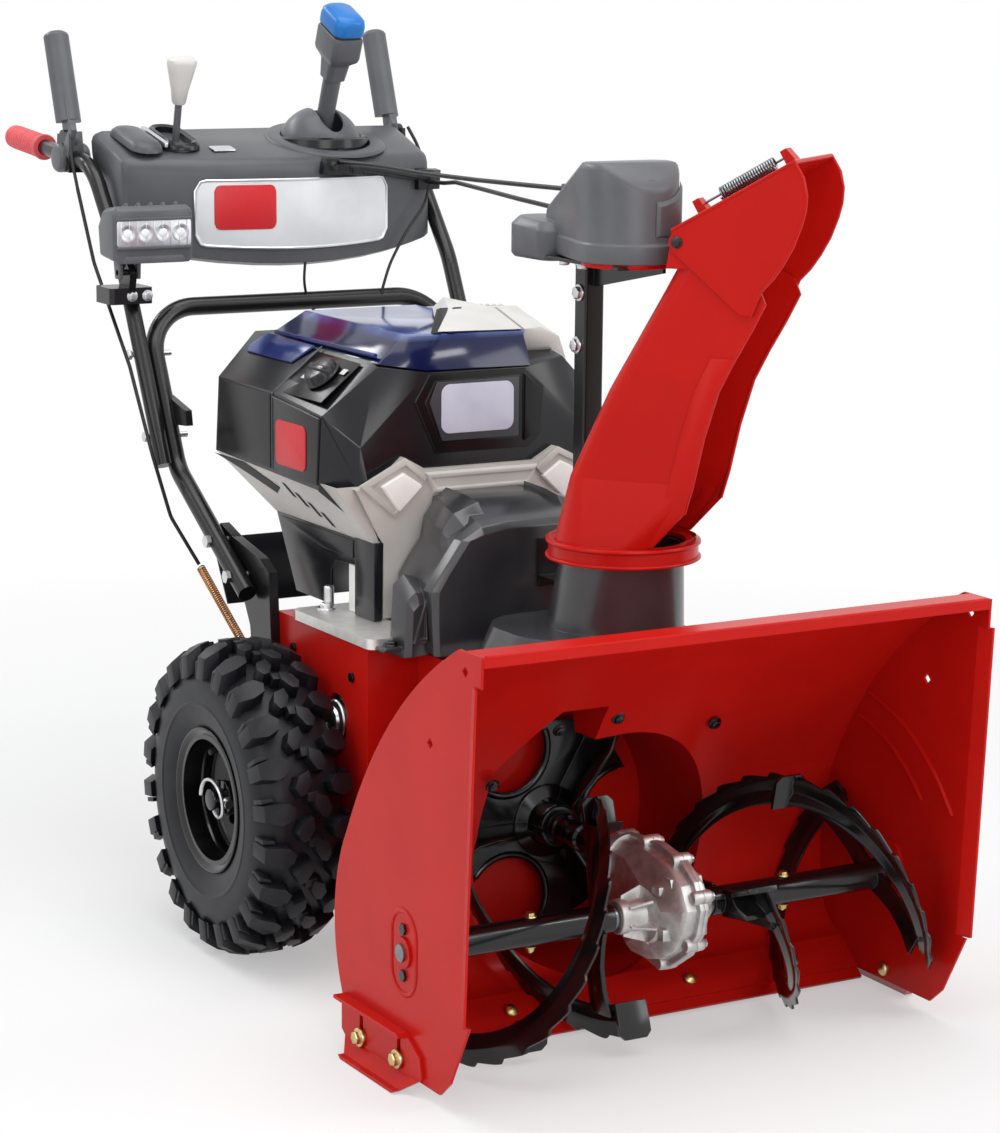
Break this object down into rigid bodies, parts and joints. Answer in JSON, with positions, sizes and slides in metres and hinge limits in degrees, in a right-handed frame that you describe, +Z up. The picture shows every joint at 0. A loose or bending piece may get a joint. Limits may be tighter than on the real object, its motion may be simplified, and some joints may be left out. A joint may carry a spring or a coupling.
{
  "type": "two stage snowblower",
  "caption": "Battery two stage snowblower with auger housing, impeller, turning chute with tilting hood, wheels, power head and handlebar controls.",
  "frame": {"origin": "on the ground under the middle of the whole machine's box", "axes": "+X across the machine, +Y back towards the operator, +Z up; the auger mouth faces -Y"},
  "size_m": [0.724, 1.5399, 1.1815],
  "materials": {
    "red_paint": "gloss",
    "black_paint": "satin",
    "black_plastic": "satin",
    "grey_plastic": "satin",
    "light_grey_plastic": "satin",
    "silver_plastic": "satin",
    "blue_tint": "gloss",
    "blue_plastic": "gloss",
    "coral_rubber": "matte",
    "belt_rubber": "matte",
    "tyre_rubber": "matte",
    "zinc_steel": "satin",
    "steel": "satin",
    "copper_wire": "satin",
    "cast_aluminium": "satin",
    "pulley_iron": "matte"
  },
  "bodies": {
    "machine": {"auger_bearings": "black_paint", "axle_bearings": "steel", "base_plate": "cast_aluminium", "battery_packs": "black_plastic", "belt_cover": "black_plastic", "black_bolts": "black_paint", "cable_springs": "copper_wire", "chute_cables": "black_plastic", "chute_head_cover": "grey_plastic", "chute_post": "black_paint", "clutch_cables": "black_plastic", "console": "grey_plastic", "discharge_neck": "black_plastic", "drive_belt": "belt_rubber", "gear_case": "cast_aluminium", "gear_case_cover": "cast_aluminium", "grips": "coral_rubber", "handle_bolts": "zinc_steel", "handle_brackets": "black_paint", "housing_bolts": "zinc_steel", "housing_wrapper": "red_paint", "impeller_drum": "red_paint", "lamp_bracket": "black_paint", "lower_handle": "black_paint", "motor": "cast_aluminium", "motor_shroud": "black_plastic", "power_housing": "black_plastic", "scraper_blade": "red_paint", "side_plate_left": "red_paint", "side_plate_right": "red_paint", "silver_trim": "silver_plastic", "skid_shoe_left": "red_paint", "skid_shoe_right": "red_paint", "tractor_frame": "red_paint", "upper_handles": "black_paint", "vent_cover": "light_grey_plastic"},
    "augers": {"auger_left": "black_paint", "auger_right": "black_paint", "auger_shaft": "steel", "shear_bolts": "zinc_steel"},
    "impeller": {"impeller": "black_paint", "impeller_shaft": "steel", "impeller_pulley": "pulley_iron"},
    "motor_rotor": {"motor_pulley": "steel"},
    "wheel_left": {"tyre_left": "tyre_rubber", "rim_left": "black_paint"},
    "wheel_right": {"tyre_right": "tyre_rubber", "rim_right": "black_paint"},
    "chute": {"chute": "red_paint"},
    "hood": {"deflector": "red_paint", "deflector_spring": "steel"},
    "stick_dome": {"joystick_dome": "grey_plastic"},
    "stick": {"joystick": "grey_plastic"},
    "trigger": {"trigger": "blue_plastic"},
    "lever_left": {"lever_left": "grey_plastic"},
    "lever_right": {"lever_right": "grey_plastic"},
    "speed_lever": {"speed_lever": "light_grey_plastic"},
    "dial": {"dial": "black_plastic"},
    "battery_lid": {"battery_lid": "blue_tint"},
    "lamp": {"lamp_body": "grey_plastic"}
  },
  "joints": [
    {"name": "impeller_spin", "type": "hinge", "parent": "machine", "child": "impeller", "pos_m": [0, -0.36, 0.2], "axis": [0, 1, 0], "continuous": true},
    {"name": "auger_spin", "type": "hinge", "parent": "machine", "child": "augers", "pos_m": [0, -0.6, 0.156], "axis": [1, 0, 0], "continuous": true},
    {"name": "motor_spin", "type": "hinge", "parent": "machine", "child": "motor_rotor", "pos_m": [0, -0.286, 0.52], "axis": [0, 1, 0], "continuous": true},
    {"name": "wheel_left_spin", "type": "hinge", "parent": "machine", "child": "wheel_left", "pos_m": [-0.278, -0.062, 0.201], "axis": [1, 0, 0], "continuous": true},
    {"name": "wheel_right_spin", "type": "hinge", "parent": "machine", "child": "wheel_right", "pos_m": [0.278, -0.062, 0.201], "axis": [1, 0, 0], "continuous": true},
    {"name": "chute_turn", "type": "hinge", "parent": "machine", "child": "chute", "pos_m": [0, -0.507, 0.572], "axis": [0, 0, 1], "range_deg": [-137, 63]},
    {"name": "hood_tilt", "type": "hinge", "parent": "chute", "child": "hood", "pos_m": [0.05055, -0.57408, 0.936], "axis": [0.7986, 0.6018, 0], "range_deg": [0, 55]},
    {"name": "stick_side_tilt", "type": "hinge", "parent": "machine", "child": "stick_dome", "pos_m": [0.087, 0.457, 0.978], "axis": [0, 1, 0], "range_deg": [-35, 16]},
    {"name": "stick_fore_tilt", "type": "hinge", "parent": "stick_dome", "child": "stick", "pos_m": [0.087, 0.457, 0.978], "axis": [1, 0, 0], "range_deg": [-33.5, 0.5]},
    {"name": "trigger_press", "type": "slide", "parent": "stick", "child": "trigger", "axis": [0.0236, 0.4137, -0.9101], "range_m": [0, 0.0035], "stiffness_N_per_m": 1200, "springref_m": -0.001},
    {"name": "lever_left_press", "type": "hinge", "parent": "machine", "child": "lever_left", "pos_m": [-0.252, 0.55, 0.992], "axis": [-1, 0, 0], "range_deg": [0, 50], "stiffness_Nm_per_rad": 1.2, "springref_deg": -20.05},
    {"name": "lever_right_press", "type": "hinge", "parent": "machine", "child": "lever_right", "pos_m": [0.252, 0.55, 0.992], "axis": [-1, 0, 0], "range_deg": [0, 50], "stiffness_Nm_per_rad": 1.2, "springref_deg": -20.05},
    {"name": "speed_select", "type": "hinge", "parent": "machine", "child": "speed_lever", "pos_m": [-0.14, 0.455, 0.955], "axis": [1, 0, 0], "range_deg": [-18, 18]},
    {"name": "dial_turn", "type": "hinge", "parent": "machine", "child": "dial", "pos_m": [-0.166, -0.062, 0.7277], "axis": [-0.6314, 0, 0.7754], "range_deg": [-135, 135]},
    {"name": "lid_open", "type": "hinge", "parent": "machine", "child": "battery_lid", "pos_m": [-0.1295, 0.011, 0.7605], "axis": [0, -1, 0], "range_deg": [0, 70]},
    {"name": "lamp_tilt", "type": "hinge", "parent": "machine", "child": "lamp", "pos_m": [-0.267, 0.322, 0.829], "axis": [1, 0, 0], "range_deg": [-15, 15]}
  ],
  "couplings": [
    {"joint": "auger_spin", "follows": "impeller_spin", "ratio": 0.1},
    {"joint": "motor_spin", "follows": "impeller_spin", "ratio": 3},
    {"joint": "stick_side_tilt", "follows": "chute_turn", "ratio": 0.25},
    {"joint": "stick_fore_tilt", "follows": "hood_tilt", "ratio": -0.6}
  ]
}
